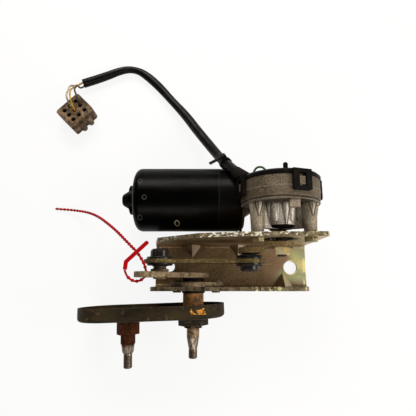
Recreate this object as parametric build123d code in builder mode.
from build123d import *
import math
import os

# A wiper motor on its bracket, with its crank linkage, the pivoted drive spindle, and the pan
# that carries the idler spindle. Sizes are in millimetres.
#
# The frame: the origin is on the drive spindle's axis, where the arm's taper meets its thread.
# +Y runs up the spindle towards the motor, +X from the idler towards the gearbox, and +Z up
# from the flat surface on which the unit lies.

# ---- Driving dimensions ----
# Surface that the unit lies on, below the spindle's axis
rest_z = -32.0

# Bracket: a web with a plate above and a flange below, pressed from one sheet
sheet = 4.0
bend_inside = 3.0
flange_level = 56.0
bracket_gap = 42.9
bracket_left = -41.0
bracket_right = 118.0
flange_depth = 46.0
plate_depth = 90.0
plate_left_depth = 42.0
plate_corner_radius = 3.0
flange_corner_radius = 6.0
web_hole_radius = 7.1
web_hole_x = 101.7
web_hole_height = 19.5
notch_depth = 20.0
notch_height = 10.0
notch_rise = 15.3
gusset_width = 21.0
gusset_height = 14.0

# Motor
yoke_diameter = 64.0
yoke_wall = 2.0
yoke_length = 103.5
yoke_overlap = 0.2
boss_radius = 15.0
boss_length = 5.3
nub_length = 8.2
magnet_thickness = 6.0
air_gap = 0.8
core_length = 45.0
commutator_radius = 11.0
armature_shaft_radius = 4.0
brush_plate_thickness = 2.0

# Worm gear
module = 1.25
wheel_teeth = 44
worm_pitch_radius = 5.5
wheel_width = 12.0
wheel_hub_step = 1.5
washer_height = 1.2
washer_play = 0.4
gear_x = 81.3

# Gear housing
drum_radius = 37.0
drum_wall = 3.0
drum_floor = 3.0
drum_height = 20.0
leg_height = 27.6
leg_inset = 10.0
leg_top_radius = 6.9
leg_foot_radius = 5.6
boss_top_radius = 16.5
boss_foot_radius = 14.5
boss_drop = 20.0
tunnel_radius = 10.6
cover_thickness = 4.4
gasket_thickness = 0.6
clip_width = 17.7
clip_drop = 16.0

# Crank and linkage
output_radius = 5.0
crank_radius = 29.5
crank_thickness = 5.0
crank_step = 5.2
crank_hub_radius = 11.0
crank_pin_boss_radius = 10.0
crank_hub_clearance = 2.8
lever_radius = 44.0
lever_thickness = 5.0
lever_hub_radius = 15.0
lever_tip_radius = 10.0
lever_tip_reach = 16.0
lever_clearance = 4.1
link_thickness = 3.4
link_end_radius = 14.5
link_bar_width = 18.0
link_rise = 7.5
ball_radius = 6.0
socket_radius = 8.3
socket_flange_radius = 12.0

# Pivot tube, drive spindle and pan
spindle_radius = 6.0
tube_radius = 10.0
tube_neck_radius = 9.0
bush_wall = 1.5
thread_radius = 4.0
thread_length = 10.0
taper_length = 9.1
taper_end_radius = 4.3
pan_length = 140.0
pan_width = 64.0
pan_depth = 12.6
pan_wall = 1.5
pan_end_offset = 30.2
pan_drop = 22.1
pan_lean = 2.0
idler_spacing = 62.5

# Clearances
running = 0.05
apart = 0.4
head_height = 4.0
screw_radius = 3.0
screw_head_flats = 10.0


# ---- Places worked out from the driving dimensions ----
web_back = rest_z
web_front = rest_z + sheet
flange_bottom = flange_level - sheet
plate_bottom = flange_level + bracket_gap
plate_top = plate_bottom + sheet
plate_front = rest_z + plate_depth
flange_front = rest_z + flange_depth

yoke_radius = yoke_diameter / 2
motor_z = rest_z + yoke_radius
yoke_right = gear_x - drum_radius + yoke_overlap
yoke_left = yoke_right - yoke_length

wheel_radius = module * wheel_teeth / 2
gear_z = motor_z + wheel_radius + worm_pitch_radius
drum_bottom = plate_top + leg_height
drum_top = drum_bottom + drum_height
boss_bottom = drum_bottom - boss_drop
leg_circle_radius = drum_radius - leg_inset
drum_floor_top = drum_bottom + drum_floor
wheel_bottom = drum_floor_top + washer_height + washer_play
motor_height = wheel_bottom + wheel_hub_step + wheel_width / 2
cover_bottom = drum_top + gasket_thickness
cover_top = cover_bottom + cover_thickness

lever_bottom = flange_level + 4.4 + lever_clearance
lever_top = lever_bottom + lever_thickness
link_bottom = lever_top + link_rise
link_top = link_bottom + link_thickness
crank_top = plate_bottom - crank_hub_clearance
crank_bottom = crank_top - crank_thickness
pin_top = crank_top - crank_step
pin_bottom = pin_top - crank_thickness
pin_x = gear_x - crank_radius
lever_ball_x = -math.sqrt(lever_radius**2 - gear_z**2)
lever_angle = math.atan2(gear_z, lever_ball_x)
link_span = pin_x - lever_ball_x

os.makedirs("parts", exist_ok=True)


# ---- Helpers for profiles and planes ----
def level(y):
    """The plane across the spindle's axis at height y. Its sketches read (x, z), facing down."""
    return Plane.XZ.offset(-y)


def station(x):
    """The plane across the motor's axis at x. Its sketches read (y, z), facing +X."""
    return Plane.YZ.offset(x)


def upright(x, z):
    """A plane through an axis along Y, for profiles of (radius, y)."""
    return Plane(origin=(x, 0, z), x_dir=(1, 0, 0), z_dir=(0, 0, 1))


def upright_axis(x, z):
    return Axis((x, 0, z), (0, 1, 0))


def outline(plane, points):
    """A closed face through the points, drawn on the plane."""
    with BuildSketch(plane) as drawn:
        with BuildLine():
            Polyline(*points, close=True)
        make_face()
    return drawn.sketch


def hexagon(plane, flats):
    with BuildSketch(plane) as drawn:
        RegularPolygon(radius=flats / 2, side_count=6, major_radius=False)
    return drawn.sketch


def disc(plane, radius, hole=0.0):
    with BuildSketch(plane) as drawn:
        Circle(radius)
        if hole > 0:
            Circle(hole, mode=Mode.SUBTRACT)
    return drawn.sketch


def on_circle(x, z, radius, degrees):
    """A point (x, z) on a circle, with 0 degrees along +X and 90 along +Z."""
    turn = math.radians(degrees)
    return x + radius * math.cos(turn), z + radius * math.sin(turn)


gear_plane = upright(gear_x, gear_z)
gear_axis = upright_axis(gear_x, gear_z)
motor_plane = Plane(origin=(0, motor_height, motor_z))
motor_axis = Axis((0, motor_height, motor_z), (1, 0, 0))
leg_angles = (30, 150, 270)
leg_places = [on_circle(gear_x, gear_z, leg_circle_radius, turn) for turn in leg_angles]

# ---- Bracket ----
shaft_hole_radius = 10.5
plate_bend_x = bracket_left + 6
plate_front_left = 7.3
plate_front_middle = 45.9
web_hole_y = flange_level + web_hole_height
notch_y = flange_level + notch_rise
top_gusset_places = (-2.5, 46.0)
low_gusset_x = 93.0
rivet_places = (-16.0, 22.0)
rivet_radius = 2.5
relief_width = 22.0
relief_depth = 2.5
edge_nick_places = (62.0, 74.0)
edge_nick_radius = 2.2


def gusset(x, y, depth, rise, width):
    """A pressed corner dart: three points on the inner corner's faces and one between them."""
    with BuildSketch(Plane.XY.offset(web_front - 0.5)) as base:
        with BuildLine():
            Polyline((x - width / 2, y), (x + width / 2, y), (x, y + rise), close=True)
        make_face()
    return loft([base.sketch.faces()[0], Vertex(x, y, web_front + depth)])


with BuildPart() as bracket:
    extrude(
        outline(
            station(bracket_left),
            [
                (plate_top, plate_front),
                (plate_top, web_back),
                (flange_bottom, web_back),
                (flange_bottom, flange_front),
                (flange_level, flange_front),
                (flange_level, web_front),
                (plate_bottom, web_front),
                (plate_bottom, plate_front),
            ],
        ),
        amount=bracket_right - bracket_left,
    )
    long_edges = bracket.edges().filter_by(Axis.X)
    inner = long_edges.filter_by(lambda e: abs(e.center().Z - web_front) < 0.1)
    outer = long_edges.filter_by(lambda e: abs(e.center().Z - web_back) < 0.1)
    fillet(inner, bend_inside)
    fillet(outer, bend_inside + sheet)
    # The plate narrows towards the idler's side, and the flange towards the gearbox's
    extrude(
        outline(
            level(plate_top + 1),
            [
                (bracket_left - 1, web_front + 4),
                (bracket_left, web_front + 4),
                (plate_bend_x, rest_z + plate_left_depth),
                (plate_front_left, rest_z + plate_left_depth + 36),
                (plate_front_middle, plate_front - 2),
                (bracket_right - 2, plate_front),
                (bracket_right, plate_front - 2),
                (bracket_right + 1, plate_front + 1),
                (bracket_left - 1, plate_front + 1),
            ],
        ),
        amount=sheet + 2,
        mode=Mode.SUBTRACT,
    )
    extrude(
        outline(
            level(flange_level + 1),
            [
                (bracket_right + 1, web_front + 6),
                (bracket_right, web_front + 6),
                (bracket_right - 8, flange_front),
                (bracket_right - 8, flange_front + 1),
                (bracket_right + 1, flange_front + 1),
            ],
        ),
        amount=sheet + 2,
        mode=Mode.SUBTRACT,
    )
    corners = bracket.edges().filter_by(Axis.Y).filter_by(lambda e: e.center().Z > 0)
    fillet(corners.filter_by(lambda e: e.center().Y < flange_level), flange_corner_radius)
    corners = bracket.edges().filter_by(Axis.Y).filter_by(lambda e: e.center().Z > web_front + 8)
    left_corner = corners.filter_by(lambda e: e.center().Y > plate_bottom).sort_by(Axis.X)[0]
    fillet(left_corner, plate_corner_radius)
    # Lightening hole and edge notch in the web
    with BuildSketch(Plane.XY.offset(web_front)) as web_openings:
        with Locations((web_hole_x, web_hole_y)):
            Circle(web_hole_radius)
        with Locations((bracket_left, notch_y + notch_height / 2)):
            SlotOverall(2 * notch_depth, notch_height)
    extrude(amount=-sheet, mode=Mode.SUBTRACT)
    # Shaft and screw holes in the plate
    with BuildSketch(level(plate_top)) as plate_holes:
        with Locations((gear_x, gear_z)):
            Circle(shaft_hole_radius)
        with Locations(*leg_places):
            Circle(screw_radius + 0.3)
    extrude(amount=sheet, mode=Mode.SUBTRACT)
    # Tube and rivet holes in the flange, with a shallow relief at its edge
    with BuildSketch(level(flange_level)) as flange_holes:
        Circle(tube_radius)
        with Locations(*[(x, 0) for x in rivet_places]):
            Circle(rivet_radius)
        with Locations((0, flange_front)):
            Rectangle(relief_width, 2 * relief_depth)
        with Locations(*[(x, flange_front) for x in edge_nick_places]):
            Circle(edge_nick_radius)
    extrude(amount=sheet, mode=Mode.SUBTRACT)
    # Pressed darts that stiffen the bends
    for place in top_gusset_places:
        add(gusset(place, plate_bottom + 0.5, 12, -gusset_height, gusset_width))
    add(gusset(low_gusset_x, flange_level - 0.5, 14, gusset_height + 1, gusset_width + 2))
bracket.part.label = "bracket"
export_step(bracket.part, "parts/bracket.step")

with BuildPart() as flange_rivets:
    for x in rivet_places:
        revolve(
            outline(
                upright(x, 0),
                [
                    (0, flange_bottom - 1.6),
                    (rivet_radius + 1.2, flange_bottom - 1.6),
                    (rivet_radius + 2, flange_bottom),
                    (rivet_radius, flange_bottom),
                    (rivet_radius, flange_level + 4.4),
                    (rivet_radius + 2, flange_level + 4.4),
                    (rivet_radius + 1.2, flange_level + 6),
                    (0, flange_level + 6),
                ],
            ),
            axis=upright_axis(x, 0),
        )
flange_rivets.part.label = "flange_rivets"
export_step(flange_rivets.part, "parts/flange_rivets.step")

# ---- Motor: yoke, magnets, armature, brushes and bearings ----
rear_bearing_length = 8.0
rear_bearing_radius = 7.0
yoke_floor = yoke_left + yoke_wall
boss_end = yoke_left - boss_length
nub_end = boss_end - nub_length
magnet_outer = yoke_radius - yoke_wall
magnet_inner = magnet_outer - magnet_thickness
core_radius = magnet_inner - air_gap
core_left = yoke_left + 24
core_right = core_left + core_length
winding_overhang = 9.0
commutator_left = core_right + winding_overhang + 3
commutator_length = 14.0
brush_length = 9.0
flange_x = yoke_right + brush_plate_thickness
lead = math.pi * module
worm_turns = 7
worm_left = gear_x - worm_turns * lead / 2
worm_right = gear_x + worm_turns * lead / 2
end_bush_length = 6.0
dimple_places = ((8.5, 12), (13.5, -4), (8.5, -22))

with BuildPart() as motor_yoke:
    revolve(
        outline(
            motor_plane,
            [
                (yoke_right, yoke_radius),
                (yoke_left + 1.2, yoke_radius),
                (yoke_left, boss_radius + 1),
                (yoke_left, boss_radius),
                (boss_end, boss_radius),
                (boss_end, armature_shaft_radius + 1.6),
                (boss_end + yoke_wall, armature_shaft_radius + 1.6),
                (boss_end + yoke_wall, rear_bearing_radius),
                (yoke_floor + yoke_wall, rear_bearing_radius),
                (yoke_floor + yoke_wall, boss_radius + 1),
                (yoke_floor + 1.2, magnet_outer),
                (yoke_right, magnet_outer),
            ],
        ),
        axis=motor_axis,
    )
    rear_rim = motor_yoke.edges().filter_by(GeomType.CIRCLE).sort_by(Axis.X)
    shoulder = [e for e in rear_rim if abs(e.radius - yoke_radius) < 0.1][0]
    fillet(shoulder, 7)
    boss_rim = [e for e in motor_yoke.edges().filter_by(GeomType.CIRCLE) if abs(e.radius - boss_radius) < 0.1]
    fillet(boss_rim[:1], 1.5)
    # Locating dimples near the rear and one drain hole
    for along, across in dimple_places:
        with Locations(
            Plane(
                origin=(
                    yoke_left + along,
                    motor_height + across,
                    motor_z + math.sqrt(yoke_radius**2 - across**2),
                ),
                z_dir=(0, across, math.sqrt(yoke_radius**2 - across**2)),
            )
        ):
            Cylinder(1.6, 1.0, mode=Mode.SUBTRACT)
    with Locations(
        Plane(
            origin=(yoke_left + 43.5, motor_height - 27, motor_z + 17),
            z_dir=(0, -27, 17),
        )
    ):
        Cylinder(1.9, 12, mode=Mode.SUBTRACT)
motor_yoke.part.label = "motor_yoke"
export_step(motor_yoke.part, "parts/motor_yoke.step")

with BuildPart() as end_nub:
    revolve(
        outline(
            motor_plane,
            [
                (boss_end, 0),
                (boss_end, 9.5),
                (boss_end - 1.5, 9.5),
                (nub_end + 1.2, 6.2),
                (nub_end, 5.0),
                (nub_end, 0),
            ],
        ),
        axis=motor_axis,
    )
end_nub.part.label = "end_nub"
export_step(end_nub.part, "parts/end_nub.step")

with BuildPart() as magnets:
    with BuildSketch(station(core_left - 4)) as magnet_section:
        with Locations((motor_height, motor_z)):
            Circle(magnet_outer)
            Circle(magnet_inner, mode=Mode.SUBTRACT)
            Rectangle(2 * yoke_radius, 18, mode=Mode.SUBTRACT)
    extrude(amount=core_length + 8)
magnets.part.label = "magnets"
export_step(magnets.part, "parts/magnets.step")

with BuildPart() as armature_core:
    with BuildSketch(station(core_left)) as lamination:
        with Locations((motor_height, motor_z)):
            Circle(core_radius)
            Circle(armature_shaft_radius, mode=Mode.SUBTRACT)
            with PolarLocations(core_radius - 4.5, 12):
                SlotOverall(9, 4.2, mode=Mode.SUBTRACT)
            with PolarLocations(core_radius, 12):
                Rectangle(4, 1.6, mode=Mode.SUBTRACT)
    extrude(amount=core_length)
armature_core.part.label = "armature_core"
export_step(armature_core.part, "parts/armature_core.step")

with BuildPart() as windings:
    for near, far in ((core_left, core_left - winding_overhang), (core_right, core_right + winding_overhang)):
        lean = math.copysign(1, far - near)
        revolve(
            outline(
                motor_plane,
                [
                    (near, armature_shaft_radius),
                    (near, core_radius - 2),
                    (near + 4 * lean, core_radius - 1.5),
                    (far - 2 * lean, core_radius - 5),
                    (far, core_radius - 9),
                    (far, armature_shaft_radius),
                ],
            ),
            axis=motor_axis,
        )
windings.part.label = "windings"
export_step(windings.part, "parts/windings.step")

with BuildPart() as commutator:
    with BuildSketch(station(commutator_left)) as bars:
        with Locations((motor_height, motor_z)):
            Circle(commutator_radius)
            Circle(armature_shaft_radius, mode=Mode.SUBTRACT)
            with PolarLocations(commutator_radius, 12):
                Rectangle(2.4, 0.8, mode=Mode.SUBTRACT)
    extrude(amount=commutator_length)
commutator.part.label = "commutator"
export_step(commutator.part, "parts/commutator.step")

worm_root = worm_pitch_radius - 1.1 * module
worm_tip = worm_pitch_radius + 0.85 * module
thread_half_tip = 0.11 * lead
thread_half_root = 0.20 * lead

with BuildPart() as worm_thread:
    with BuildLine():
        Helix(pitch=lead, height=worm_turns * lead, radius=worm_root)
    with BuildSketch(Plane(origin=(worm_root, 0, 0), x_dir=(1, 0, 0), z_dir=(0, 1, 0))):
        with BuildLine():
            Polyline(
                (-0.4, -thread_half_root),
                (worm_tip - worm_root, -thread_half_tip),
                (worm_tip - worm_root, thread_half_tip),
                (-0.4, thread_half_root),
                close=True,
            )
        make_face()
    sweep(is_frenet=True)

with BuildPart() as armature_shaft:
    revolve(
        outline(
            motor_plane,
            [
                (boss_end + 0.5, 0),
                (boss_end + 0.5, armature_shaft_radius),
                (worm_left - 3, armature_shaft_radius),
                (worm_left - 3, worm_root),
                (worm_right + 2, worm_root),
                (worm_right + 2, armature_shaft_radius - 1),
                (worm_right + 2 + end_bush_length + 1.6, armature_shaft_radius - 1),
                (worm_right + 2 + end_bush_length + 1.6, 0),
            ],
        ),
        axis=motor_axis,
    )
    with Locations(
        Plane(origin=(worm_left, motor_height, motor_z), x_dir=(0, 0, 1), z_dir=(1, 0, 0))
    ):
        add(worm_thread.part)
armature_shaft.part.label = "armature_shaft"
export_step(armature_shaft.part, "parts/armature_shaft.step")

screw_turns = (45, 225)
yoke_screw_circle = 25.0
yoke_screw_radius = 2.0
motor_flange_thickness = 3.0
motor_flange_radius = 29.0
yoke_screw_places = [
    (
        motor_height + yoke_screw_circle * math.cos(math.radians(turn)),
        motor_z + yoke_screw_circle * math.sin(math.radians(turn)),
    )
    for turn in screw_turns
]

brush_box_reach = 19.5
box_places = [(motor_height + side * brush_box_reach, motor_z) for side in (1, -1)]

with BuildPart() as brush_plate:
    with BuildSketch(station(yoke_right)) as plate_face:
        with Locations((motor_height, motor_z)):
            Circle(yoke_radius - 0.4)
            Circle(commutator_radius + 1.5, mode=Mode.SUBTRACT)
        with Locations(*yoke_screw_places):
            Circle(yoke_screw_radius, mode=Mode.SUBTRACT)
        with Locations((motor_height - yoke_radius + 1.5, motor_z + 18)):
            RectangleRounded(9, 8, 1.5)
    extrude(amount=brush_plate_thickness)
    # Two brush boxes stand on the plate's inner face
    with BuildSketch(station(yoke_right)) as box_section:
        with Locations(*box_places):
            Rectangle(13, 10)
    extrude(amount=-14)
    with BuildSketch(station(yoke_right - 2)) as box_hollow:
        with Locations(*box_places):
            Rectangle(14, 6.4)
    extrude(amount=-10, mode=Mode.SUBTRACT)
brush_plate.part.label = "brush_plate"
export_step(brush_plate.part, "parts/brush_plate.step")

with BuildPart() as brushes:
    with BuildSketch(station(yoke_right - 2.6)) as brush_section:
        for side in (1, -1):
            reach = commutator_radius + apart + brush_length / 2
            with Locations((motor_height + side * reach, motor_z)):
                Rectangle(brush_length, 6.0)
    extrude(amount=-8.8)
brushes.part.label = "brushes"
export_step(brushes.part, "parts/brushes.step")

spring_start = commutator_radius + apart + brush_length
with BuildPart() as brush_springs:
    for side in (1, -1):
        with Locations(
            Plane(
                origin=(yoke_right - 7, motor_height + side * spring_start, motor_z),
                z_dir=(0, side, 0),
            )
        ):
            Cylinder(2.4, 5.0, align=(Align.CENTER, Align.CENTER, Align.MIN))
            Cylinder(1.7, 5.0, align=(Align.CENTER, Align.CENTER, Align.MIN), mode=Mode.SUBTRACT)
brush_springs.part.label = "brush_springs"
export_step(brush_springs.part, "parts/brush_springs.step")

with BuildPart() as yoke_screws:
    for place in yoke_screw_places:
        with BuildSketch(Plane.YZ.offset(yoke_right - 5)) as shank:
            with Locations(place):
                Circle(yoke_screw_radius)
        extrude(amount=brush_plate_thickness + motor_flange_thickness + 5)
        with BuildSketch(Plane.YZ.offset(flange_x + motor_flange_thickness)) as head:
            with Locations(place):
                Circle(3.6)
        extrude(amount=2.4)
yoke_screws.part.label = "yoke_screws"
export_step(yoke_screws.part, "parts/yoke_screws.step")

# ---- Gearbox ----
front_bush_length = 8.0
front_bush_radius = 7.0
worm_bore = worm_tip + 1.0
tunnel_end = worm_right + 2 + end_bush_length
end_wall = 6.0
neck_radius = 19.0
neck_length = 16.0
thrust_screw_length = 12.0
thrust_screw_radius = 4.0
thrust_screw_flats = 11.0
screw_out = tunnel_end + 2 * thrust_screw_length
clip_turns = (71.4, 165.0, 345.0)
boss_bush_radius = output_radius + 2.5
seal_radius = 13.0
seal_height = 2.2
drum_inside = drum_radius - drum_wall


def clip_plane(turn, radius, y):
    """A plane that faces out of the drum at the clip's turn, reading (across, up)."""
    x, z = on_circle(gear_x, gear_z, radius, turn)
    out = (math.cos(math.radians(turn)), 0, math.sin(math.radians(turn)))
    return Plane(origin=(x, y, z), x_dir=(out[2], 0, -out[0]), z_dir=out)


with BuildPart() as gear_housing:
    # Drum, with the parting line's ridge half way up
    revolve(
        outline(
            gear_plane,
            [
                (0, drum_bottom),
                (drum_radius - 2.5, drum_bottom),
                (drum_radius - 0.6, drum_bottom + 2),
                (drum_radius - 0.3, drum_bottom + drum_height / 2 - 0.6),
                (drum_radius + 0.1, drum_bottom + drum_height / 2),
                (drum_radius - 0.3, drum_bottom + drum_height / 2 + 0.6),
                (drum_radius - 0.2, drum_top),
                (0, drum_top),
            ],
        ),
        axis=gear_axis,
    )
    # Output boss and its ribs
    revolve(
        outline(
            gear_plane,
            [
                (0, boss_bottom),
                (boss_foot_radius, boss_bottom),
                (boss_top_radius, drum_bottom + 1),
                (0, drum_bottom + 1),
            ],
        ),
        axis=gear_axis,
    )
    for turn in range(0, 360, 60):
        rib_x, rib_z = on_circle(gear_x, gear_z, boss_top_radius - 2.5, turn + 60)
        with Locations(Plane(origin=(rib_x, drum_bottom + 1, rib_z), z_dir=(0, -1, 0))):
            Cone(4.4, 2.2, boss_drop - 2, align=(Align.CENTER, Align.CENTER, Align.MIN))
    # Three legs, each with a slim V rib on its outer side
    for turn, (x, z) in zip(leg_angles, leg_places):
        with Locations(Plane(origin=(x, plate_top, z), z_dir=(0, 1, 0))):
            Cone(
                leg_foot_radius,
                leg_top_radius,
                leg_height + 1,
                align=(Align.CENTER, Align.CENTER, Align.MIN),
            )
        rib_x, rib_z = on_circle(x, z, leg_top_radius - 1.2, turn)
        with Locations(Plane(origin=(rib_x, drum_bottom + 1.5, rib_z), z_dir=(0, -1, 0))):
            Cone(3.4, 0.4, 17, align=(Align.CENTER, Align.CENTER, Align.MIN))
    # Square lug below the drum's near rim
    with BuildSketch(level(drum_bottom + 3)) as lug:
        with Locations((gear_x + 6, gear_z + drum_radius - 6)):
            RectangleRounded(9.5, 6, 1.2)
    extrude(amount=11)
    # Relief for the yoke's rim, then the worm tunnel and its neck out to the motor's flange
    with Locations(Plane(origin=(yoke_left, motor_height, motor_z), z_dir=(1, 0, 0))):
        Cylinder(
            yoke_radius + 0.5,
            flange_x - yoke_left,
            align=(Align.CENTER, Align.CENTER, Align.MIN),
            mode=Mode.SUBTRACT,
        )
    revolve(
        outline(
            motor_plane,
            [
                (flange_x, 0),
                (flange_x, motor_flange_radius),
                (flange_x + motor_flange_thickness, motor_flange_radius),
                (flange_x + motor_flange_thickness, neck_radius),
                (flange_x + neck_length, tunnel_radius),
                (tunnel_end, tunnel_radius),
                (tunnel_end + end_wall, tunnel_radius - 4),
                (tunnel_end + end_wall, 0),
            ],
        ),
        axis=motor_axis,
    )
    # Lugs on which the cover's clips catch
    for turn in clip_turns:
        with BuildSketch(clip_plane(turn, drum_radius - 2, drum_top - 6)) as catch:
            Rectangle(5.2, 7)
        extrude(amount=4.2)
    # Hollows: drum, output bore, worm bore, bush seats and tapped holes
    revolve(
        outline(
            gear_plane,
            [
                (0, drum_floor_top),
                (drum_inside - 1.5, drum_floor_top),
                (drum_inside, drum_floor_top + 1.5),
                (drum_inside, drum_top),
                (0, drum_top),
            ],
        ),
        axis=gear_axis,
        mode=Mode.SUBTRACT,
    )
    revolve(
        outline(
            gear_plane,
            [
                (0, boss_bottom),
                (boss_bush_radius, boss_bottom),
                (boss_bush_radius, drum_floor_top),
                (0, drum_floor_top),
            ],
        ),
        axis=gear_axis,
        mode=Mode.SUBTRACT,
    )
    revolve(
        outline(
            motor_plane,
            [
                (flange_x, 0),
                (flange_x, front_bush_radius),
                (flange_x + front_bush_length, front_bush_radius),
                (worm_left - 4, worm_bore),
                (worm_right + 2, worm_bore),
                (worm_right + 2, front_bush_radius - 1),
                (tunnel_end, front_bush_radius - 1),
                (tunnel_end, thrust_screw_radius),
                (screw_out, thrust_screw_radius),
                (screw_out, 0),
            ],
        ),
        axis=motor_axis,
        mode=Mode.SUBTRACT,
    )
    with Locations(Plane(origin=(tunnel_end + end_wall, motor_height, motor_z), z_dir=(1, 0, 0))):
        Cylinder(
            0.65 * thrust_screw_flats,
            thrust_screw_length,
            align=(Align.CENTER, Align.CENTER, Align.MIN),
            mode=Mode.SUBTRACT,
        )
    for x, z in leg_places:
        with Locations(Plane(origin=(x, plate_top, z), z_dir=(0, 1, 0))):
            Cylinder(screw_radius, 14, align=(Align.CENTER, Align.CENTER, Align.MIN), mode=Mode.SUBTRACT)
    for y, z in yoke_screw_places:
        with Locations(Plane(origin=(flange_x, y, z), z_dir=(1, 0, 0))):
            Cylinder(
                yoke_screw_radius,
                motor_flange_thickness,
                align=(Align.CENTER, Align.CENTER, Align.MIN),
                mode=Mode.SUBTRACT,
            )
gear_housing.part.label = "gear_housing"
export_step(gear_housing.part, "parts/gear_housing.step")

with BuildPart() as cover_gasket:
    gasket_plane = level(cover_bottom).shift_origin((gear_x, cover_bottom, gear_z))
    extrude(disc(gasket_plane, drum_radius - 0.3, drum_inside), amount=gasket_thickness)
    # Open where the yoke, the neck and the tunnel pass
    with Locations((gear_x, cover_bottom, motor_z)):
        Box(2.2 * drum_radius, 4, 2 * neck_radius + 3, mode=Mode.SUBTRACT)
    with Locations((flange_x, cover_bottom, motor_z)):
        Box(10, 4, 2 * yoke_radius + 3, mode=Mode.SUBTRACT)
cover_gasket.part.label = "cover_gasket"
export_step(cover_gasket.part, "parts/cover_gasket.step")

cover_wall = 2.2
cover_radius = drum_radius + 0.6
clip_thickness = 2.6
clip_inside = drum_radius + 0.3
clip_window_width = 6.8
clip_window_height = 11.5
vent_height = 6.7
vent_radius = 2.1
vent_reach = drum_radius - 7

with BuildPart() as gear_cover:
    revolve(
        outline(
            gear_plane,
            [
                (0, cover_top - cover_wall),
                (drum_inside - 1, cover_top - cover_wall),
                (drum_inside - 1, cover_bottom),
                (cover_radius, cover_bottom),
                (cover_radius, cover_top - 1.6),
                (cover_radius - 1.6, cover_top),
                (0, cover_top),
            ],
        ),
        axis=gear_axis,
    )
    with Locations(Plane(origin=(yoke_left, motor_height, motor_z), z_dir=(1, 0, 0))):
        Cylinder(
            yoke_radius + 0.5,
            flange_x + motor_flange_thickness + 0.4 - yoke_left,
            align=(Align.CENTER, Align.CENTER, Align.MIN),
            mode=Mode.SUBTRACT,
        )
    with Locations(Plane(origin=(flange_x, motor_height, motor_z), z_dir=(1, 0, 0))):
        Cylinder(
            neck_radius + 0.6,
            neck_length + 0.4,
            align=(Align.CENTER, Align.CENTER, Align.MIN),
            mode=Mode.SUBTRACT,
        )
    with Locations(Plane(origin=(flange_x, motor_height, motor_z), z_dir=(1, 0, 0))):
        Cylinder(
            tunnel_radius + 0.4,
            tunnel_end + end_wall + 5 - flange_x,
            align=(Align.CENTER, Align.CENTER, Align.MIN),
            mode=Mode.SUBTRACT,
        )
    for turn in clip_turns:
        with BuildSketch(clip_plane(turn, clip_inside, cover_bottom - clip_drop / 2 + 1)) as clip_arm:
            RectangleRounded(clip_width, clip_drop, 2.2)
            with Locations((0, 1.2)):
                Rectangle(clip_window_width, clip_window_height, mode=Mode.SUBTRACT)
        extrude(amount=clip_thickness)
        with BuildSketch(clip_plane(turn, drum_radius - 4, cover_bottom + 1.8)) as clip_root:
            Rectangle(clip_width, 3.4)
        extrude(amount=4 + 0.3 + clip_thickness)
    # Vent pin, rounded at its top
    with Locations(Plane(origin=(gear_x, cover_top - 1, gear_z + vent_reach), z_dir=(0, 1, 0))):
        Cylinder(vent_radius, vent_height, align=(Align.CENTER, Align.CENTER, Align.MIN))
    with Locations(Plane(origin=(gear_x, cover_top - 1 + vent_height, gear_z + vent_reach), z_dir=(0, 1, 0))):
        Cone(vent_radius, vent_radius - 1, 1.0, align=(Align.CENTER, Align.CENTER, Align.MIN))
gear_cover.part.label = "gear_cover"
export_step(gear_cover.part, "parts/gear_cover.step")

with BuildPart() as park_contacts:
    for reach in (10.0, 14.5, 19.0):
        with BuildSketch(level(cover_top - cover_wall)) as strip:
            with Locations((gear_x + reach, gear_z - 4)):
                Rectangle(2.4, 22)
        extrude(amount=0.6)
park_contacts.part.label = "park_contacts"
export_step(park_contacts.part, "parts/park_contacts.step")


with BuildPart() as output_bush:
    revolve(
        outline(
            gear_plane,
            [
                (output_radius + running, boss_bottom),
                (boss_bush_radius, boss_bottom),
                (boss_bush_radius, drum_floor_top),
                (output_radius + running, drum_floor_top),
            ],
        ),
        axis=gear_axis,
    )
output_bush.part.label = "output_bush"
export_step(output_bush.part, "parts/output_bush.step")

with BuildPart() as output_seal:
    revolve(
        outline(
            gear_plane,
            [
                (output_radius + running, boss_bottom - seal_height),
                (seal_radius - 1.5, boss_bottom - seal_height),
                (seal_radius, boss_bottom - seal_height + 0.8),
                (seal_radius, boss_bottom),
                (output_radius + running, boss_bottom),
            ],
        ),
        axis=gear_axis,
    )
output_seal.part.label = "output_seal"
export_step(output_seal.part, "parts/output_seal.step")

with BuildPart() as thrust_washer:
    revolve(
        outline(
            gear_plane,
            [
                (output_radius + running, drum_floor_top),
                (10, drum_floor_top),
                (10, drum_floor_top + washer_height),
                (output_radius + running, drum_floor_top + washer_height),
            ],
        ),
        axis=gear_axis,
    )
thrust_washer.part.label = "thrust_washer"
export_step(thrust_washer.part, "parts/thrust_washer.step")

with BuildPart() as shaft_bearings:
    for start, end, outside in (
        (boss_end + yoke_wall, boss_end + yoke_wall + rear_bearing_length, rear_bearing_radius),
        (flange_x, flange_x + front_bush_length, front_bush_radius),
    ):
        bore = armature_shaft_radius + running
        revolve(
            outline(motor_plane, [(start, bore), (start, outside), (end, outside), (end, bore)]),
            axis=motor_axis,
        )
shaft_bearings.part.label = "shaft_bearings"
export_step(shaft_bearings.part, "parts/shaft_bearings.step")

with BuildPart() as end_bush:
    revolve(
        outline(
            motor_plane,
            [
                (worm_right + 2 + 0.3, armature_shaft_radius - 1 + running),
                (worm_right + 2 + 0.3, front_bush_radius - 1),
                (tunnel_end, front_bush_radius - 1),
                (tunnel_end, armature_shaft_radius - 1 + running),
            ],
        ),
        axis=motor_axis,
    )
end_bush.part.label = "end_bush"
export_step(end_bush.part, "parts/end_bush.step")

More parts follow.
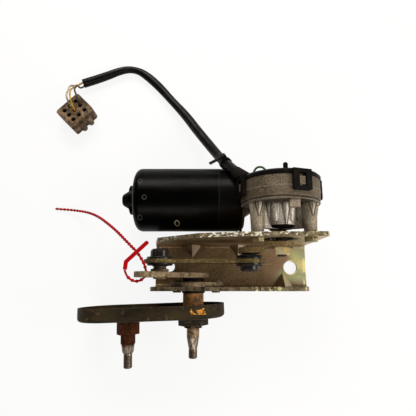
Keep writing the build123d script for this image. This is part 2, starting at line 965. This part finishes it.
with BuildPart() as thrust_screw:
    with Locations(Plane(origin=(tunnel_end + 1.9, motor_height, motor_z), z_dir=(1, 0, 0))):
        Cylinder(thrust_screw_radius, thrust_screw_length, align=(Align.CENTER, Align.CENTER, Align.MIN))
    extrude(
        hexagon(
            Plane(origin=(tunnel_end + end_wall, motor_height, motor_z), z_dir=(1, 0, 0)),
            thrust_screw_flats,
        ),
        amount=3.5,
    )
thrust_screw.part.label = "thrust_screw"
export_step(thrust_screw.part, "parts/thrust_screw.step")

with BuildPart() as leg_screws:
    for x, z in leg_places:
        head_plane = Plane(origin=(x, plate_bottom, z), z_dir=(0, -1, 0))
        extrude(hexagon(head_plane, screw_head_flats), amount=head_height)
        with Locations(Plane(origin=(x, plate_bottom, z), z_dir=(0, 1, 0))):
            Cylinder(screw_radius, sheet + 13, align=(Align.CENTER, Align.CENTER, Align.MIN))
leg_screws.part.label = "leg_screws"
export_step(leg_screws.part, "parts/leg_screws.step")

# ---- Crank body: wheel, output shaft, crank, nut and ball stud ----
wheel_middle = motor_height
tooth_tip = wheel_radius + 0.8 * module
tooth_root = wheel_radius - 1.15 * module
tooth_half_tip = 0.13 * lead
tooth_half_root = 0.23 * lead
nut_flats = 13.0
nut_height = 6.4
shaft_taper_radius = 4.0
shaft_end = crank_bottom - nut_height - 1.6
stud_radius = 4.5
crank_bend = 12.5
crank_bend_run = 6.0
crank_bend_shift = 1.0

with BuildPart() as worm_wheel:
    with BuildSketch(level(wheel_middle + wheel_width / 2)) as toothed:
        with Locations((gear_x, gear_z)):
            Circle(tooth_root)
            Circle(output_radius, mode=Mode.SUBTRACT)
            with PolarLocations(tooth_root, wheel_teeth, start_angle=-90):
                Polygon(
                    (-0.6, -tooth_half_root),
                    (tooth_tip - tooth_root, -tooth_half_tip),
                    (tooth_tip - tooth_root, tooth_half_tip),
                    (-0.6, tooth_half_root),
                    align=None,
                )
    extrude(amount=wheel_width)
    with BuildSketch(level(wheel_middle + wheel_width / 2)) as dish:
        with Locations((gear_x, gear_z)):
            Circle(tooth_root - 4)
            Circle(11, mode=Mode.SUBTRACT)
    extrude(amount=3.5, mode=Mode.SUBTRACT)
    with BuildSketch(level(wheel_middle - wheel_width / 2)) as hub:
        with Locations((gear_x, gear_z)):
            Circle(10)
            Circle(output_radius, mode=Mode.SUBTRACT)
    extrude(amount=wheel_middle - wheel_width / 2 - wheel_bottom)
worm_wheel.part.label = "worm_wheel"
export_step(worm_wheel.part, "parts/worm_wheel.step")

with BuildPart() as output_shaft:
    revolve(
        outline(
            gear_plane,
            [
                (0, wheel_middle + wheel_width / 2 + 0.8),
                (output_radius, wheel_middle + wheel_width / 2 + 0.8),
                (output_radius, crank_top),
                (shaft_taper_radius, crank_bottom),
                (shaft_taper_radius, shaft_end + 0.8),
                (shaft_taper_radius - 0.8, shaft_end),
                (0, shaft_end),
            ],
        ),
        axis=gear_axis,
    )
output_shaft.part.label = "output_shaft"
export_step(output_shaft.part, "parts/output_shaft.step")

with BuildPart() as crank_arm:
    with BuildSketch(Plane.XY.offset(gear_z - crank_hub_radius)) as joggled:
        with BuildLine():
            Polyline(
                (gear_x + crank_hub_radius, crank_top),
                (gear_x - crank_bend, crank_top),
                (gear_x - crank_bend - crank_bend_run, pin_top),
                (pin_x - crank_pin_boss_radius, pin_top),
                (pin_x - crank_pin_boss_radius, pin_bottom),
                (gear_x - crank_bend - crank_bend_run - crank_bend_shift, pin_bottom),
                (gear_x - crank_bend - crank_bend_shift, crank_bottom),
                (gear_x + crank_hub_radius, crank_bottom),
                close=True,
            )
        make_face()
        bends = joggled.vertices().filter_by(lambda v: pin_x < v.X < gear_x - crank_bend + 0.1)
        fillet(bends, 2.0)
    extrude(amount=2 * crank_hub_radius)
    with BuildSketch(level(crank_top + 1)) as crank_plan:
        with Locations((gear_x, gear_z)):
            Circle(crank_hub_radius)
        with Locations((pin_x, gear_z)):
            Circle(crank_pin_boss_radius)
        make_hull()
    extrude(amount=crank_thickness + crank_step + 2, mode=Mode.INTERSECT)
    revolve(
        outline(
            gear_plane,
            [
                (0, crank_top),
                (output_radius, crank_top),
                (shaft_taper_radius, crank_bottom),
                (0, crank_bottom),
            ],
        ),
        axis=gear_axis,
        mode=Mode.SUBTRACT,
    )
    with BuildSketch(level(pin_top)) as stud_hole:
        with Locations((pin_x, gear_z)):
            Circle(stud_radius)
    extrude(amount=crank_thickness, mode=Mode.SUBTRACT)
crank_arm.part.label = "crank_arm"
export_step(crank_arm.part, "parts/crank_arm.step")

with BuildPart() as crank_nut:
    nut_plane = Plane(origin=(gear_x, crank_bottom, gear_z), z_dir=(0, -1, 0))
    extrude(hexagon(nut_plane, nut_flats), amount=nut_height)
    with Locations(nut_plane):
        Cylinder(
            shaft_taper_radius,
            nut_height,
            align=(Align.CENTER, Align.CENTER, Align.MIN),
            mode=Mode.SUBTRACT,
        )
crank_nut.part.label = "crank_nut"
export_step(crank_nut.part, "parts/crank_nut.step")

# ---- Linkage: ball studs, sockets, link and lever ----
socket_cup_bottom = lever_top + apart
stud_neck_radius = stud_radius - 0.5
lever_seal_thickness = 2.8
stud_head = 1.4


def ball_stud(x, z, shank_from, shank_to, ball_y, head_y):
    """A ball on a neck, with a shank between two heights and a rivet head beyond it."""
    toward = math.copysign(1, shank_to - ball_y)
    with BuildPart() as stud:
        with Locations((x, ball_y, z)):
            Sphere(ball_radius)
        revolve(
            outline(
                upright(x, z),
                [
                    (0, ball_y),
                    (stud_neck_radius, ball_y),
                    (stud_neck_radius, shank_from),
                    (stud_radius, shank_from),
                    (stud_radius, shank_to),
                    (head_y[0], shank_to),
                    (head_y[0] - 0.8, shank_to + head_y[1] * toward),
                    (0, shank_to + head_y[1] * toward),
                ],
            ),
            axis=upright_axis(x, z),
        )
    return stud.part


ball_height = link_bottom + link_thickness / 2 - 0.4

with BuildPart() as crank_stud:
    add(ball_stud(pin_x, gear_z, pin_bottom, pin_top, ball_height, (stud_radius + 1.6, stud_head)))
crank_stud.part.label = "crank_stud"
export_step(crank_stud.part, "parts/crank_stud.step")

link_joint_places = ((lever_ball_x, gear_z), (pin_x, gear_z))
with BuildPart() as drive_link:
    with BuildSketch(level(link_top)) as link_plan:
        with Locations(*link_joint_places):
            Circle(link_end_radius)
        with Locations(((lever_ball_x + pin_x) / 2, gear_z)):
            Rectangle(link_span, link_bar_width)
        corners = link_plan.vertices().filter_by(
            lambda v: lever_ball_x + 5 < v.X < pin_x - 5
        )
        fillet(corners, 12)
        with Locations(*link_joint_places):
            Circle(socket_radius, mode=Mode.SUBTRACT)
    extrude(amount=link_thickness)
    rim = drive_link.faces().sort_by(Axis.Y)[-1].outer_wire().edges()
    chamfer(rim, 0.4)
drive_link.part.label = "drive_link"
export_step(drive_link.part, "parts/drive_link.step")


def socket_shell(x, z, cup_end, link_face, far_face):
    """A moulded ball socket: a closed cup on one face of the link, and a snap lip on the other."""
    out = math.copysign(1, cup_end - link_face)
    with BuildPart() as shell:
        revolve(
            outline(
                upright(x, z),
                [
                    (0, cup_end),
                    (socket_radius - 1.4, cup_end),
                    (socket_radius, cup_end - 1.4 * out),
                    (socket_radius, link_face + 2.3 * out),
                    (socket_flange_radius - 0.5, link_face + 2.3 * out),
                    (socket_flange_radius, link_face + 1.6 * out),
                    (socket_flange_radius, link_face),
                    (socket_radius, link_face),
                    (socket_radius, far_face),
                    (0, far_face),
                ],
            ),
            axis=upright_axis(x, z),
        )
        with Locations((x, ball_height, z)):
            Sphere(ball_radius + running, mode=Mode.SUBTRACT)
        mouth = Plane(origin=(x, ball_height, z), z_dir=(0, -out, 0))
        with Locations(mouth):
            Cylinder(
                ball_radius - 0.9,
                4 * ball_radius,
                align=(Align.CENTER, Align.CENTER, Align.MIN),
                mode=Mode.SUBTRACT,
            )
    return shell.part


lever_cup_end = link_top + 9.4
with BuildPart() as ball_sockets:
    add(socket_shell(pin_x, gear_z, socket_cup_bottom, link_bottom, link_top))
    add(socket_shell(lever_ball_x, gear_z, lever_cup_end, link_top, link_bottom))
ball_sockets.part.label = "ball_sockets"
export_step(ball_sockets.part, "parts/ball_sockets.step")


def boot(x, z, face, out, inner, thickness):
    """A rubber boot that seals a stud's neck to the link, with a groove round its middle."""
    return revolve(
        outline(
            upright(x, z),
            [
                (inner, face),
                (socket_flange_radius, face),
                (socket_flange_radius, face + 0.32 * thickness * out),
                (socket_flange_radius - 1.5, face + 0.42 * thickness * out),
                (socket_flange_radius - 0.3, face + 0.54 * thickness * out),
                (socket_flange_radius - 0.8, face + 0.70 * thickness * out),
                (stud_radius + 2.4, face + 0.74 * thickness * out),
                (stud_radius + 2.2, face + thickness * out),
                (inner, face + thickness * out),
            ],
        ),
        axis=upright_axis(x, z),
        mode=Mode.PRIVATE,
    )


with BuildPart() as joint_boots:
    add(boot(pin_x, gear_z, link_top, 1, stud_neck_radius + apart, pin_bottom - apart - link_top))
    add(boot(lever_ball_x, gear_z, link_bottom, -1, stud_neck_radius, lever_seal_thickness))
    with Locations((pin_x, ball_height, gear_z), (lever_ball_x, ball_height, gear_z)):
        Sphere(ball_radius + running, mode=Mode.SUBTRACT)
joint_boots.part.label = "joint_boots"
export_step(joint_boots.part, "parts/joint_boots.step")

rivet_gap_y = lever_top + apart
with BuildPart() as lever_stud:
    with Locations((lever_ball_x, ball_height, gear_z)):
        Sphere(ball_radius)
    revolve(
        outline(
            upright(lever_ball_x, gear_z),
            [
                (0, ball_height),
                (stud_neck_radius, ball_height),
                (stud_neck_radius, link_bottom - lever_seal_thickness),
                (stud_neck_radius + 1.7, link_bottom - lever_seal_thickness),
                (stud_neck_radius + 1.7, rivet_gap_y + 2.6),
                (socket_radius - 0.2, rivet_gap_y + 1.9),
                (socket_radius - 0.2, rivet_gap_y),
                (0, rivet_gap_y),
            ],
        ),
        axis=upright_axis(lever_ball_x, gear_z),
    )
lever_stud.part.label = "lever_stud"
export_step(lever_stud.part, "parts/lever_stud.step")

tip_x = (lever_radius + lever_tip_reach) * math.cos(lever_angle)
tip_z = (lever_radius + lever_tip_reach) * math.sin(lever_angle)
tip_hole_radius = 4.2
with BuildPart() as pivot_lever:
    with BuildSketch(level(lever_top)) as lever_plan:
        Circle(lever_hub_radius)
        with Locations((tip_x, tip_z)):
            Circle(lever_tip_radius)
        make_hull()
        Circle(spindle_radius, mode=Mode.SUBTRACT)
        with Locations((tip_x, tip_z)):
            Circle(tip_hole_radius, mode=Mode.SUBTRACT)
        with Locations((lever_ball_x, gear_z)):
            Circle(stud_radius, mode=Mode.SUBTRACT)
    extrude(amount=lever_thickness)
    chamfer(pivot_lever.faces().sort_by(Axis.Y)[0].outer_wire().edges(), 0.5)
    chamfer(pivot_lever.faces().sort_by(Axis.Y)[-1].outer_wire().edges(), 0.5)
pivot_lever.part.label = "pivot_lever"
export_step(pivot_lever.part, "parts/pivot_lever.step")

with BuildPart() as stud_rivet:
    revolve(
        outline(
            upright(lever_ball_x, gear_z),
            [
                (0, lever_top),
                (stud_radius, lever_top),
                (stud_radius, lever_bottom),
                (stud_radius + 1.6, lever_bottom),
                (stud_radius + 0.8, lever_bottom - stud_head),
                (0, lever_bottom - stud_head),
            ],
        ),
        axis=upright_axis(lever_ball_x, gear_z),
    )
stud_rivet.part.label = "stud_rivet"
export_step(stud_rivet.part, "parts/stud_rivet.step")

# ---- Pivot: flange plate, tube, bushes, spindle, washer and rings ----
pivot_flange_thickness = 4.4
pivot_flange_top = flange_level + pivot_flange_thickness
tube_top = pivot_flange_top + 1.0
tube_bore = spindle_radius + bush_wall
pan_bottom = flange_bottom - pan_drop - 2.5
pan_floor_top = pan_bottom + pan_wall
pan_washer_thickness = 2.0
tube_shoulder = pan_floor_top + pan_washer_thickness
pan_nut_height = 7.4
pan_nut_flats = 25.0
tube_end = pan_bottom - pan_nut_height - 0.6
bush_length = 10.0

with BuildPart() as pivot_flange:
    with BuildSketch(level(pivot_flange_top)) as flange_plan:
        Circle(16)
        with Locations(*[(x, 0) for x in rivet_places]):
            Circle(7)
        make_hull()
        Circle(tube_radius, mode=Mode.SUBTRACT)
        with Locations(*[(x, 0) for x in rivet_places]):
            Circle(rivet_radius, mode=Mode.SUBTRACT)
    extrude(amount=pivot_flange_thickness)
pivot_flange.part.label = "pivot_flange"
export_step(pivot_flange.part, "parts/pivot_flange.step")

with BuildPart() as pivot_tube:
    revolve(
        outline(
            upright(0, 0),
            [
                (tube_bore, tube_top),
                (tube_radius, tube_top),
                (tube_radius, tube_shoulder),
                (tube_neck_radius, tube_shoulder),
                (tube_neck_radius, tube_end),
                (tube_bore, tube_end),
            ],
        ),
        axis=upright_axis(0, 0),
    )
pivot_tube.part.label = "pivot_tube"
export_step(pivot_tube.part, "parts/pivot_tube.step")

with BuildPart() as pivot_bushes:
    for top in (tube_top, tube_end + bush_length):
        revolve(
            outline(
                upright(0, 0),
                [
                    (spindle_radius + running, top),
                    (tube_bore, top),
                    (tube_bore, top - bush_length),
                    (spindle_radius + running, top - bush_length),
                ],
            ),
            axis=upright_axis(0, 0),
        )
pivot_bushes.part.label = "pivot_bushes"
export_step(pivot_bushes.part, "parts/pivot_bushes.step")

with BuildPart() as tube_ring:
    revolve(
        outline(
            upright(0, 0),
            [
                (tube_radius, flange_bottom),
                (tube_radius + 1.2, flange_bottom),
                (tube_radius + 1.2, flange_bottom - 1.8),
                (tube_radius, flange_bottom - 1.8),
            ],
        ),
        axis=upright_axis(0, 0),
    )
tube_ring.part.label = "tube_ring"
export_step(tube_ring.part, "parts/tube_ring.step")

with BuildPart() as pivot_washer:
    revolve(
        outline(
            upright(0, 0),
            [
                (spindle_radius + running, tube_top),
                (tube_radius + 0.6, tube_top),
                (tube_radius + 0.6, lever_bottom - apart),
                (spindle_radius + running, lever_bottom - apart),
            ],
        ),
        axis=upright_axis(0, 0),
    )
pivot_washer.part.label = "pivot_washer"
export_step(pivot_washer.part, "parts/pivot_washer.step")

with BuildPart() as drive_spindle:
    revolve(
        outline(
            upright(0, 0),
            [
                (0, lever_top),
                (spindle_radius, lever_top),
                (spindle_radius, taper_length),
                (taper_end_radius, 0),
                (thread_radius, 0),
                (thread_radius, 0.8 - thread_length),
                (thread_radius - 0.8, -thread_length),
                (0, -thread_length),
            ],
        ),
        axis=upright_axis(0, 0),
    )
    # Knurl on the taper: fine flutes along it
    with BuildSketch(level(taper_length)) as flutes:
        with PolarLocations(spindle_radius + 0.12, 24):
            Rectangle(0.7, 0.7, rotation=45)
    extrude(amount=taper_length, taper=0, mode=Mode.SUBTRACT)
drive_spindle.part.label = "drive_spindle"
export_step(drive_spindle.part, "parts/drive_spindle.step")

with BuildPart() as spindle_circlip:
    with BuildSketch(level(tube_end - 0.5)) as clip_ring:
        Circle(spindle_radius + 2.4)
        Circle(spindle_radius, mode=Mode.SUBTRACT)
        with Locations((0, spindle_radius + 1)):
            Rectangle(3, 4, mode=Mode.SUBTRACT)
    extrude(amount=1.2)
spindle_circlip.part.label = "spindle_circlip"
export_step(spindle_circlip.part, "parts/spindle_circlip.step")

# ---- Pan and idler spindle, which lean a little ----
lean = math.radians(pan_lean)
pan_plane = Plane(
    origin=(0, pan_bottom, 0),
    x_dir=(math.cos(lean), math.sin(lean), 0),
    z_dir=(math.sin(lean), -math.cos(lean), 0),
)
pan_centre = -(pan_length / 2 - pan_end_offset)
idler_place = pan_plane.from_local_coords(Vector(-idler_spacing, 0, 0))
idler_plane = Plane(origin=idler_place, x_dir=pan_plane.x_dir, z_dir=pan_plane.z_dir)
idler_radius = 5.0
idler_sleeve_radius = 6.9
idler_sleeve_length = 22.0
idler_nut_flats = 19.0
idler_nut_height = 12.4
idler_washer_radius = 9.8
idler_end = 44.0
idler_collar_radius = 6.2
pan_hole_spread = 14.0
pan_hole_radius = 2.6


def pan_revolve(plane, points):
    """A piece turned about a plane's normal, from (radius, depth below the pan's underside)."""
    side = Plane(origin=plane.origin, x_dir=plane.x_dir, z_dir=-plane.y_dir)
    return revolve(outline(side, points), axis=Axis(plane.origin, plane.z_dir), mode=Mode.PRIVATE)


with BuildPart() as pan:
    with BuildSketch(pan_plane) as pan_plan:
        with Locations((pan_centre, 0)):
            SlotOverall(pan_length, pan_width)
    extrude(amount=-pan_depth)
    underside = pan.faces().sort_by(Axis(pan_plane.origin, pan_plane.z_dir))[-1]
    fillet(underside.outer_wire().edges(), 3.5)
    open_side = pan.faces().sort_by(Axis(pan_plane.origin, pan_plane.z_dir))[0]
    offset(amount=-pan_wall, openings=open_side, kind=Kind.INTERSECTION)
    with BuildSketch(pan_plane) as pan_holes:
        Circle(tube_neck_radius + 0.3)
        with Locations((-idler_spacing, 0)):
            Circle(idler_sleeve_radius)
        with Locations(*[(-idler_spacing / 2, side * pan_hole_spread) for side in (1, -1)]):
            Circle(pan_hole_radius)
    extrude(amount=-pan_wall, mode=Mode.SUBTRACT)
pan.part.label = "pan"
export_step(pan.part, "parts/pan.step")

with BuildPart() as pan_washer:
    add(
        pan_revolve(
            pan_plane,
            [
                (tube_neck_radius + 0.4, -pan_wall),
                (14, -pan_wall),
                (14, -pan_wall - pan_washer_thickness),
                (tube_neck_radius + 0.4, -pan_wall - pan_washer_thickness),
            ],
        )
    )
pan_washer.part.label = "pan_washer"
export_step(pan_washer.part, "parts/pan_washer.step")

with BuildPart() as pan_nut:
    extrude(hexagon(pan_plane, pan_nut_flats), amount=pan_nut_height)
    with BuildSketch(pan_plane) as nut_bore:
        Circle(tube_neck_radius - 0.1)
    extrude(amount=pan_nut_height, mode=Mode.SUBTRACT)
pan_nut.part.label = "pan_nut"
export_step(pan_nut.part, "parts/pan_nut.step")

with BuildPart() as idler_sleeve:
    add(
        pan_revolve(
            idler_plane,
            [
                (idler_radius + running, -pan_wall - 5),
                (idler_sleeve_radius + 1, -pan_wall - 5),
                (12, -pan_wall - 2),
                (12, -pan_wall),
                (idler_sleeve_radius, -pan_wall),
                (idler_sleeve_radius, idler_sleeve_length),
                (idler_radius + running, idler_sleeve_length),
            ],
        )
    )
idler_sleeve.part.label = "idler_sleeve"
export_step(idler_sleeve.part, "parts/idler_sleeve.step")

with BuildPart() as idler_washer:
    with BuildSketch(idler_plane) as washer_face:
        Circle(idler_washer_radius)
        Circle(idler_sleeve_radius, mode=Mode.SUBTRACT)
    extrude(amount=1.0)
idler_washer.part.label = "idler_washer"
export_step(idler_washer.part, "parts/idler_washer.step")

with BuildPart() as idler_nut:
    extrude(hexagon(idler_plane.offset(1.0), idler_nut_flats), amount=idler_nut_height)
    with BuildSketch(idler_plane.offset(1.0)) as idler_bore:
        Circle(idler_sleeve_radius)
    extrude(amount=idler_nut_height, mode=Mode.SUBTRACT)
idler_nut.part.label = "idler_nut"
export_step(idler_nut.part, "parts/idler_nut.step")

with BuildPart() as idler_spindle:
    add(
        pan_revolve(
            idler_plane,
            [
                (0, -pan_wall - 8),
                (idler_radius, -pan_wall - 8),
                (idler_radius, idler_sleeve_length + apart),
                (idler_collar_radius, idler_sleeve_length + apart),
                (idler_collar_radius - 0.8, idler_end - 15),
                (taper_end_radius, idler_end - 13),
                (thread_radius, idler_end - 13),
                (thread_radius, idler_end - 0.8),
                (thread_radius - 0.8, idler_end),
                (0, idler_end),
            ],
        )
    )
idler_spindle.part.label = "idler_spindle"
export_step(idler_spindle.part, "parts/idler_spindle.step")

with BuildPart() as idler_circlip:
    with BuildSketch(idler_plane.offset(-pan_wall - 5 - apart)) as idler_ring:
        Circle(idler_radius + 2.2)
        Circle(idler_radius, mode=Mode.SUBTRACT)
        with Locations((0, idler_radius + 1)):
            Rectangle(2.6, 4, mode=Mode.SUBTRACT)
    extrude(amount=-1.2)
idler_circlip.part.label = "idler_circlip"
export_step(idler_circlip.part, "parts/idler_circlip.step")

# ---- Harness: boot, sleeve, cores, connector and tie, and the lead beside them ----
bend_tangent = 0.45


def cord_radii(route):
    """Bend radii for a route: each from the shorter run beside it and the turn between them."""
    radii = []
    for before, at, after in zip(route, route[1:], route[2:]):
        run_in = Vector(*at) - Vector(*before)
        run_out = Vector(*after) - Vector(*at)
        half_turn = math.radians(run_in.get_angle(run_out)) / 2
        radii.append(bend_tangent * min(run_in.length, run_out.length) / math.tan(half_turn))
    return radii


def cord_tube(route, radius):
    """A round tube along a route with rounded bends."""
    with BuildPart() as tube:
        with BuildLine() as path:
            FilletPolyline(*route, radius=cord_radii(route))
        with BuildSketch(Plane(origin=path.line @ 0, z_dir=path.line % 0)):
            Circle(radius)
        sweep()
    return tube.part, sum(edge.length for edge in path.line.edges())


sleeve_radius = 5.0
harness_low = rest_z + sleeve_radius
sleeve_route = (
    (flange_x - 5.6, cover_top + 7.5, 32.0),
    (flange_x - 11.8, cover_top + 14.9, 26.0),
    (27.0, cover_top + 28.5, 10.0),
    (17.3, cover_top + 45.0, -1.0),
    (3.3, cover_top + 67.1, -12.0),
    (-11.5, 246.5, -21.0),
    (-26.7, 265.8, harness_low),
    (-42.1, 284.1, harness_low),
    (-57.5, 298.8, harness_low),
    (-69.6, 306.3, harness_low),
    (-85.0, 307.3, harness_low),
    (-109.9, 296.4, harness_low),
    (-131.8, 288.9, harness_low),
)

with BuildPart() as harness_sleeve:
    sleeve_tube, sleeve_length = cord_tube(sleeve_route, sleeve_radius)
    add(sleeve_tube)
print("harness_sleeve radii", [round(r, 1) for r in cord_radii(sleeve_route)], round(sleeve_length, 1))
harness_sleeve.part.label = "harness_sleeve"
export_step(harness_sleeve.part, "parts/harness_sleeve.step")

# Boot that takes the sleeve through the cover's top, in line with the sleeve's first run
sleeve_start = Vector(*sleeve_route[0])
sleeve_turn = Vector(*sleeve_route[1])
sleeve_heading = (sleeve_turn - sleeve_start).normalized()
boot_length = (sleeve_start.Y - cover_top) / sleeve_heading.Y
boot_foot = sleeve_start - sleeve_heading * boot_length
with BuildPart() as harness_boot:
    with Locations(Plane(origin=boot_foot - sleeve_heading * 4, z_dir=sleeve_heading)):
        Cone(
            sleeve_radius + 2.2,
            sleeve_radius + 0.6,
            boot_length + 4,
            align=(Align.CENTER, Align.CENTER, Align.MIN),
        )
    with Locations((boot_foot.X, cover_top - 10, boot_foot.Z)):
        Box(40, 20, 40, mode=Mode.SUBTRACT)
harness_boot.part.label = "harness_boot"
export_step(harness_boot.part, "parts/harness_boot.step")

# Cable tie round the sleeve, with its lock and a cut tail
tie_width = 4.6
tie_thickness = 1.2
tie_tail = 15.0
tie_run = Vector(*sleeve_route[2]) - sleeve_turn
tie_heading = tie_run.normalized()
tie_plane = Plane(
    origin=sleeve_turn + tie_heading * 6.6,
    x_dir=tie_heading.cross(Vector(0, 0, -1)).normalized(),
    z_dir=tie_heading,
)
with BuildPart() as cable_tie:
    with BuildSketch(tie_plane) as tie_band:
        Circle(sleeve_radius + tie_thickness)
        Circle(sleeve_radius, mode=Mode.SUBTRACT)
    extrude(amount=tie_width)
    with BuildSketch(tie_plane.offset(-0.4)) as tie_lock:
        with Locations((0, sleeve_radius + 2.4)):
            Rectangle(5.5, 4.6)
    extrude(amount=tie_width + 0.8)
    with BuildSketch(tie_plane.offset(0.4)) as tie_strap:
        with Locations((tie_tail / 2, sleeve_radius + 3)):
            Rectangle(tie_tail, tie_thickness)
    extrude(amount=tie_width - 0.8)
cable_tie.part.label = "cable_tie"
export_step(cable_tie.part, "parts/cable_tie.step")

# Connector, lying turned on the flat surface
connector_x = -134.3
connector_height = 248.1
connector_turn = -45.0
connector_width = 27.0
connector_length = 32.0
connector_depth = 20.0
connector_wall = 2.0
cavity_spacing = 7.4
connector_plane = Plane(
    origin=(connector_x, connector_height, rest_z),
    x_dir=(math.cos(math.radians(connector_turn)), math.sin(math.radians(connector_turn)), 0),
    z_dir=(0, 0, 1),
)
cavity_places = [
    (across * cavity_spacing, along * cavity_spacing * 1.1)
    for across in (-1, 0, 1)
    for along in (-1, 0, 1)
]

with BuildPart() as connector:
    with BuildSketch(connector_plane) as connector_plan:
        RectangleRounded(connector_width, connector_length, 3)
    extrude(amount=connector_depth)
    # Step at the mating side
    with BuildSketch(connector_plane.offset(3)) as skirt:
        with Locations((0, -connector_length / 2 + 4)):
            RectangleRounded(connector_width + 4, 8, 2)
    extrude(amount=connector_depth - 7)
    # Two latch lobes
    with BuildSketch(connector_plane) as lobes:
        with Locations((connector_width / 2, 5), (connector_width / 2, -5)):
            Circle(3.4)
    extrude(amount=connector_depth - 4)
    # Wire openings
    with BuildSketch(connector_plane.offset(connector_depth)) as cavities:
        with Locations(*cavity_places):
            Circle(2.5)
    extrude(amount=-connector_depth + connector_wall, mode=Mode.SUBTRACT)
connector.part.label = "connector"
export_step(connector.part, "parts/connector.step")

# Cores from the sleeve's end, each into its own opening in the connector
wire_radius = 1.0
wire_depth = 4.0
sleeve_end = Vector(*sleeve_route[-1])
end_heading = (sleeve_end - Vector(*sleeve_route[-2])).normalized()
end_across = Vector(0, 0, 1).cross(end_heading)
connector_face = rest_z + connector_depth


def opening(across, along):
    """The middle of one wire opening, on the connector's face."""
    place = (across * cavity_spacing, along * cavity_spacing * 1.1, connector_depth)
    return connector_plane.from_local_coords(Vector(*place))


def wire_route(side, lift, target):
    """A core's route: out of the sleeve, up over the connector's edge, and down into it."""
    leave = sleeve_end + end_heading * 0.35 + end_across * side + Vector(0, 0, lift)
    return [
        tuple(leave),
        tuple(leave + end_heading * (6 - 0.6 * side) + Vector(0, -2, 0)),
        (target.X - 6.5 - 0.4 * side, target.Y + 29, connector_face - 6 + lift),
        (target.X - 5 - side, target.Y + 19, connector_face + 3 + lift),
        (target.X - 2, target.Y + 9, connector_face + 9),
        (target.X, target.Y + 1.5, connector_face + 7),
        (target.X, target.Y, connector_face - wire_depth + 0.1),
    ]


wire_routes = {
    "wire_yellow": wire_route(0.0, 2.2, opening(0, 0)),
    "wire_brown": wire_route(2.6, -1.4, opening(0, 1)),
    "wire_pale": wire_route(-2.6, -1.4, opening(-1, 0)),
}


def wire_label(name):
    """Makes, names and writes one core."""
    with BuildPart() as wire:
        wire_tube, wire_length = cord_tube(wire_routes[name], wire_radius)
        add(wire_tube)
    print(name, "radii", [round(r, 1) for r in cord_radii(wire_routes[name])], round(wire_length, 1))
    wire.part.label = name
    export_step(wire.part, f"parts/{name}.step")


for wire_name in wire_routes:
    wire_label(wire_name)

with BuildPart() as terminals:
    with BuildSketch(connector_plane.offset(connector_wall)) as crimps:
        with Locations(*cavity_places):
            Circle(1.7)
    extrude(amount=connector_depth - connector_wall - wire_depth)
terminals.part.label = "terminals"
export_step(terminals.part, "parts/terminals.step")

# Bare lead looped over the cover, held at both ends
lead_route = (
    (flange_x + 9.7, cover_top, 36.0),
    (flange_x + 10.3, cover_top + 6.0, 37.0),
    (flange_x + 13.5, cover_top + 10.3, 38.5),
    (flange_x + 18.5, cover_top + 10.0, 40.0),
    (flange_x + 21.5, cover_top + 6.0, 41.0),
    (flange_x + 22.0, cover_top, 42.0),
)
with BuildPart() as cover_lead:
    lead_tube, lead_length = cord_tube(lead_route, wire_radius)
    add(lead_tube)
    with Locations((lead_route[0][0], cover_top - 5, lead_route[0][2])):
        Box(60, 10, 60, mode=Mode.SUBTRACT)
print("cover_lead radii", [round(r, 1) for r in cord_radii(lead_route)], round(lead_length, 1))
cover_lead.part.label = "cover_lead"
export_step(cover_lead.part, "parts/cover_lead.step")

# Beaded strap seal looped through the lever's spare hole, with its flat flag
strap_radius = 1.2
flag_bottom = 50.2
flag_thickness = 1.6
seal_route = (
    (-56.5, 70.4, 51.0),
    (-55.8, 65.8, 47.5),
    (-51.6, 62.1, 46.0),
    (-47.6, 60.9, 46.0),
    (-43.5, 61.8, 46.0),
    (-39.8, 64.8, 46.5),
    (-38.9, 69.5, 46.5),
    (-40.2, 75.0, 49.0),
    (-41.8, 78.5, 50.5),
    (-43.9, 81.8, 50.5),
    (-47.8, 87.0, 50.0),
    (-51.8, 90.1, 46.0),
    (-61.5, 99.0, 38.0),
    (-72.4, 108.4, 26.0),
    (-85.0, 117.6, 12.0),
    (-95.3, 124.5, 0.0),
    (-106.8, 130.6, -12.0),
    (-118.8, 134.9, -22.0),
    (-137.3, 138.6, -30.5),
    (-153.9, 139.7, -30.5),
)
flag_places = ((-56.4, 70.9), (-55.7, 77.5), (-38.6, 93.7))
flag_radii = (1.1, 1.65, 1.65)
flag_ends = list(zip(flag_places, flag_radii))

with BuildPart() as tag_seal:
    seal_tube, seal_length = cord_tube(seal_route, strap_radius)
    add(seal_tube)
    for near, far in zip(flag_ends, flag_ends[1:]):
        with BuildSketch(Plane.XY.offset(flag_bottom)) as flag_run:
            for place, radius in (near, far):
                with Locations(place):
                    Circle(radius)
            make_hull()
        extrude(amount=flag_thickness)
print("tag_seal radii", [round(r, 1) for r in cord_radii(seal_route)], round(seal_length, 1))
tag_seal.part.label = "tag_seal"
export_step(tag_seal.part, "parts/tag_seal.step")
